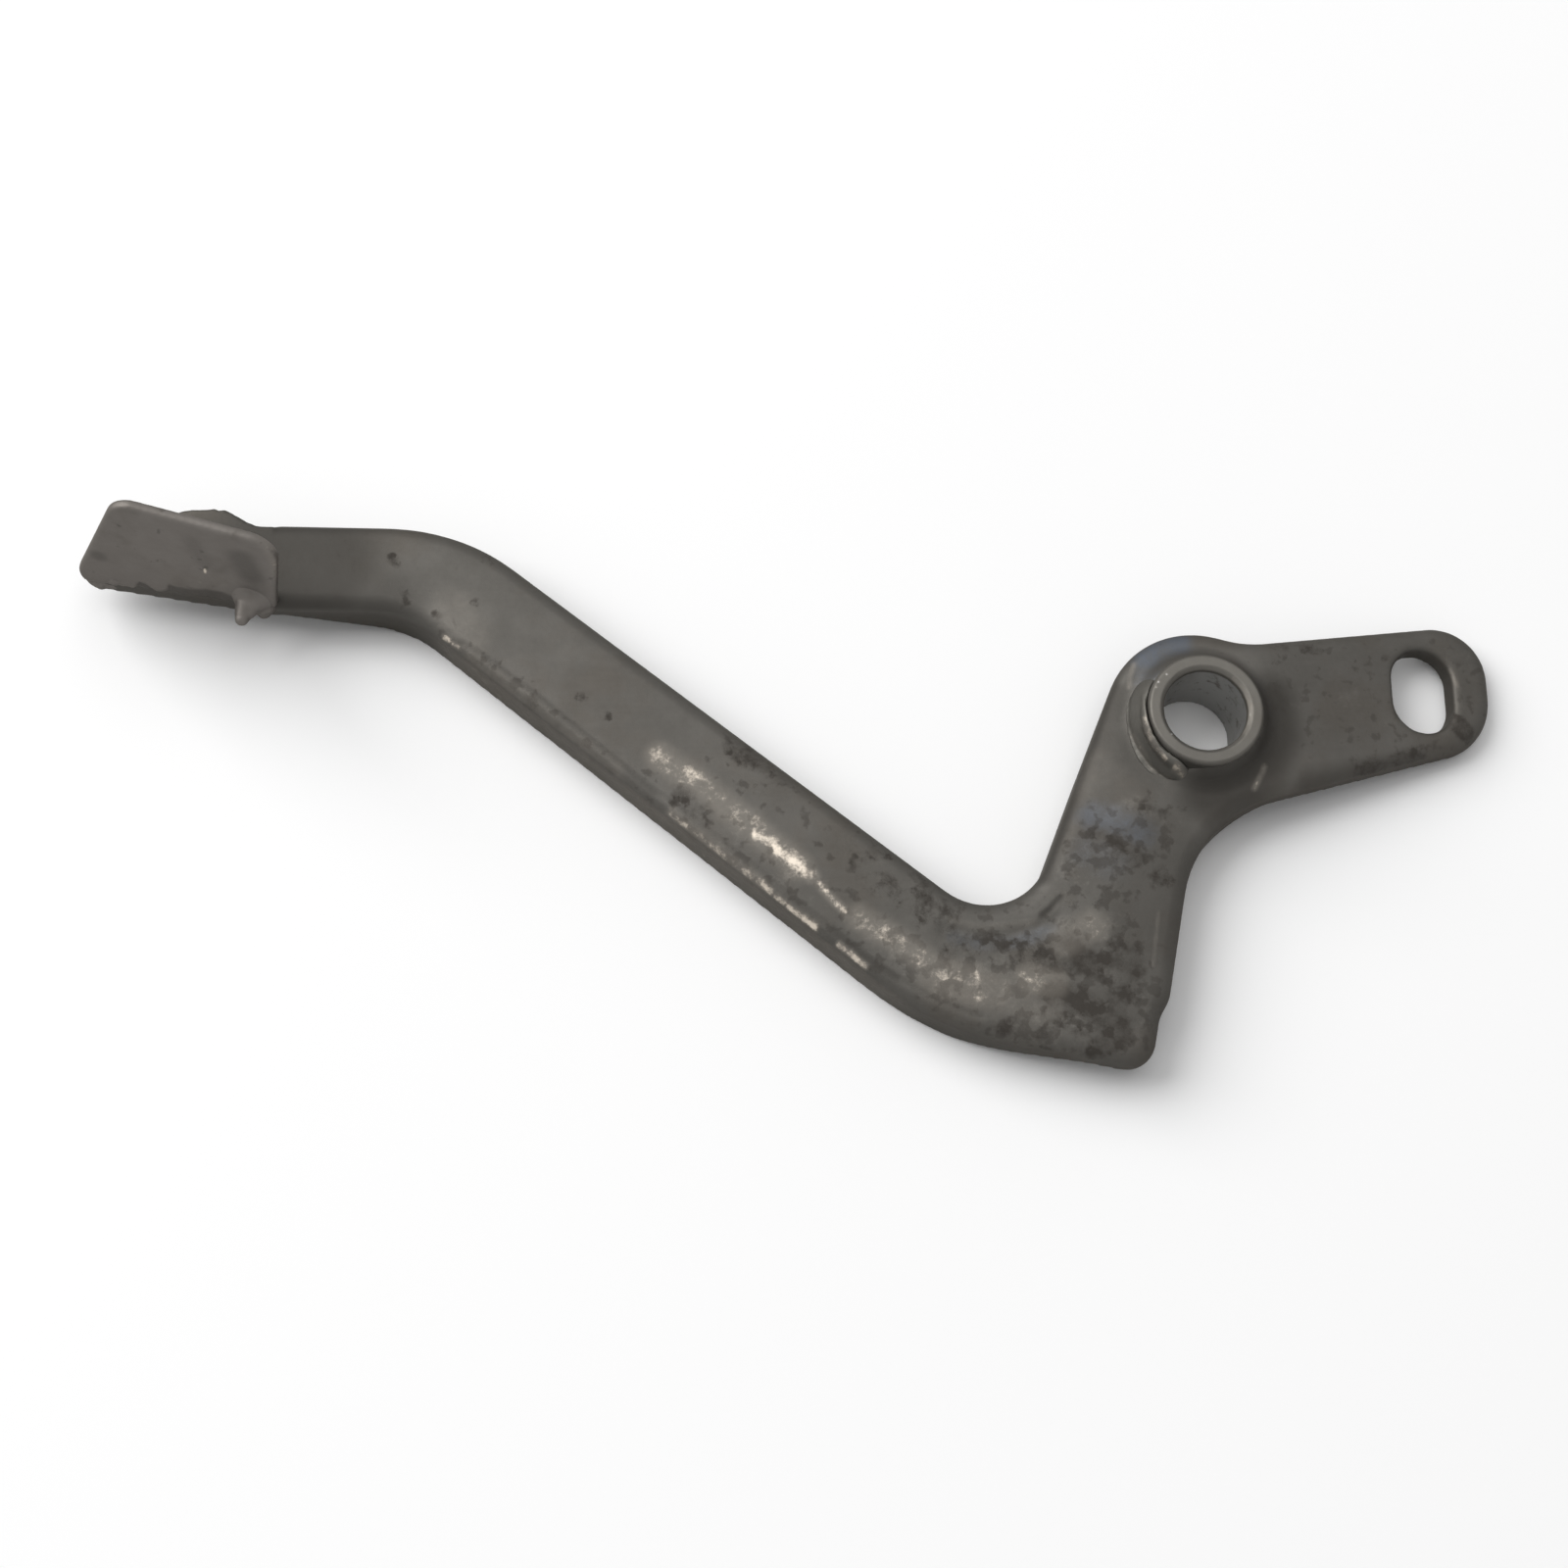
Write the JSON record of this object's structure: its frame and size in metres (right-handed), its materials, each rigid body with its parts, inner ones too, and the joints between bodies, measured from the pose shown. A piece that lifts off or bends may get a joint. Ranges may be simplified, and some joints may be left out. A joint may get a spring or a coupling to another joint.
{
  "type": "rear brake pedal",
  "caption": "Worn steel rear brake pedal: a cranked pressed arm with a welded pivot tube, a slotted lever for the brake rod and a tread plate standing out from its end.",
  "frame": {"origin": "on the pivot bore's axis, at the tube's back end, which is level with the back of the arm", "axes": "+Z along the bore towards the face that the tread plate stands out from, +X from the bore towards the brake-rod slot, +Y across the arm towards the top of the tread plate"},
  "size_m": [0.2583, 0.1008, 0.0354],
  "materials": {
    "arm_steel": "bare steel, worn and stained, with dull rust spots and a rubbed bright streak",
    "tube_steel": "turned bare steel, stained dark",
    "weld_steel": "weld bead, dull grey-brown with a bluish edge",
    "pad_steel": "bare plate, stained, with a rubbed outer edge"
  },
  "bodies": {
    "root": {"pedal_arm": "arm_steel", "pivot_tube": "tube_steel", "pivot_weld": "weld_steel", "foot_pad": "pad_steel", "pad_weld": "weld_steel"}
  },
  "joints": []
}
